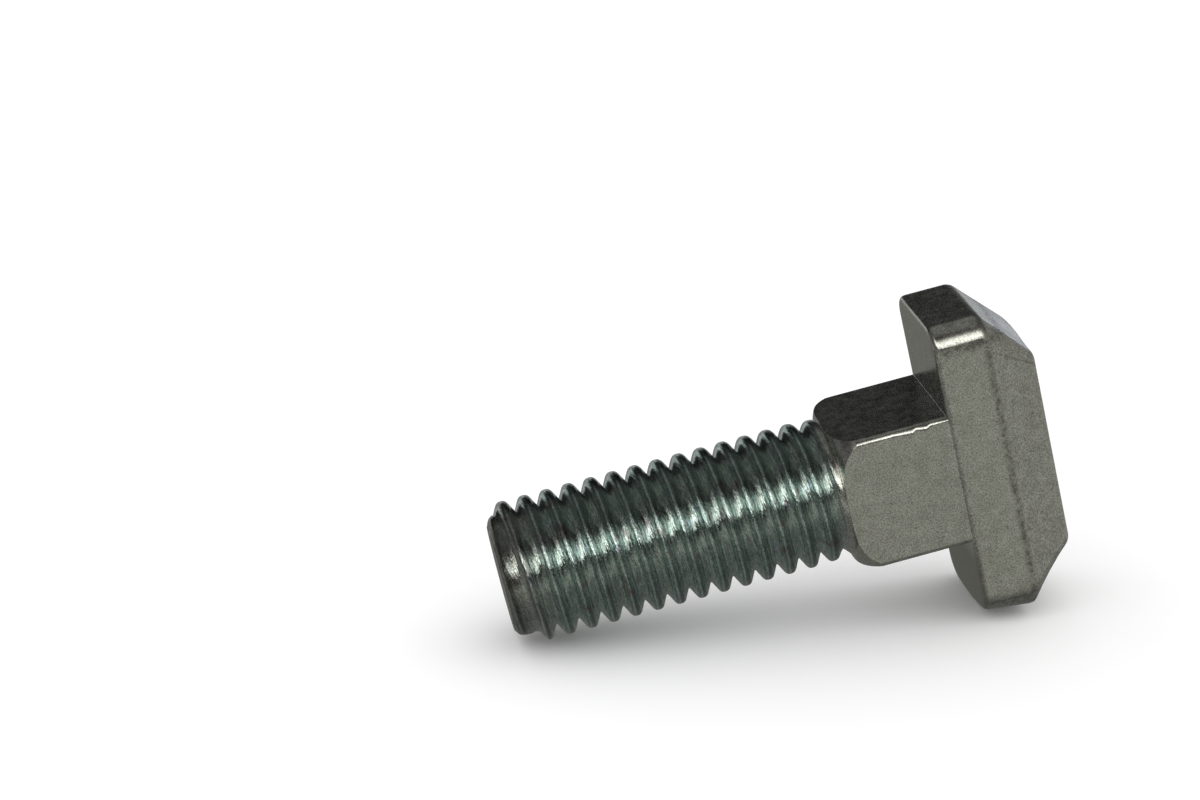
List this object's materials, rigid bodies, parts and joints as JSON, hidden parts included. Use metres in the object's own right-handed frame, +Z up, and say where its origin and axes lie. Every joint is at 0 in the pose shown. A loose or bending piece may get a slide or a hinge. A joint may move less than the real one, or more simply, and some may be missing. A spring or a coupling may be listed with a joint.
{
  "type": "t slot bolt",
  "caption": "T slot bolt with a hammer head, a square neck and a threaded shank, lying on its side as it comes to rest.",
  "frame": {"origin": "on the surface that the bolt lies on, under the middle of its bounding box", "axes": "+X from the thread's tip towards the head, in the plane of the bolt's axis; +Y across the head's narrow way; +Z up. The bolt's own axis rises from tip to head by about 10.9 degrees."},
  "size_m": [0.0318, 0.0082, 0.0176],
  "materials": {
    "zinc_plated_steel": "clear passivated zinc plating over forged and rolled steel, semi-bright with a fine grain"
  },
  "bodies": {
    "root": {"t_bolt": "zinc_plated_steel"}
  },
  "joints": []
}
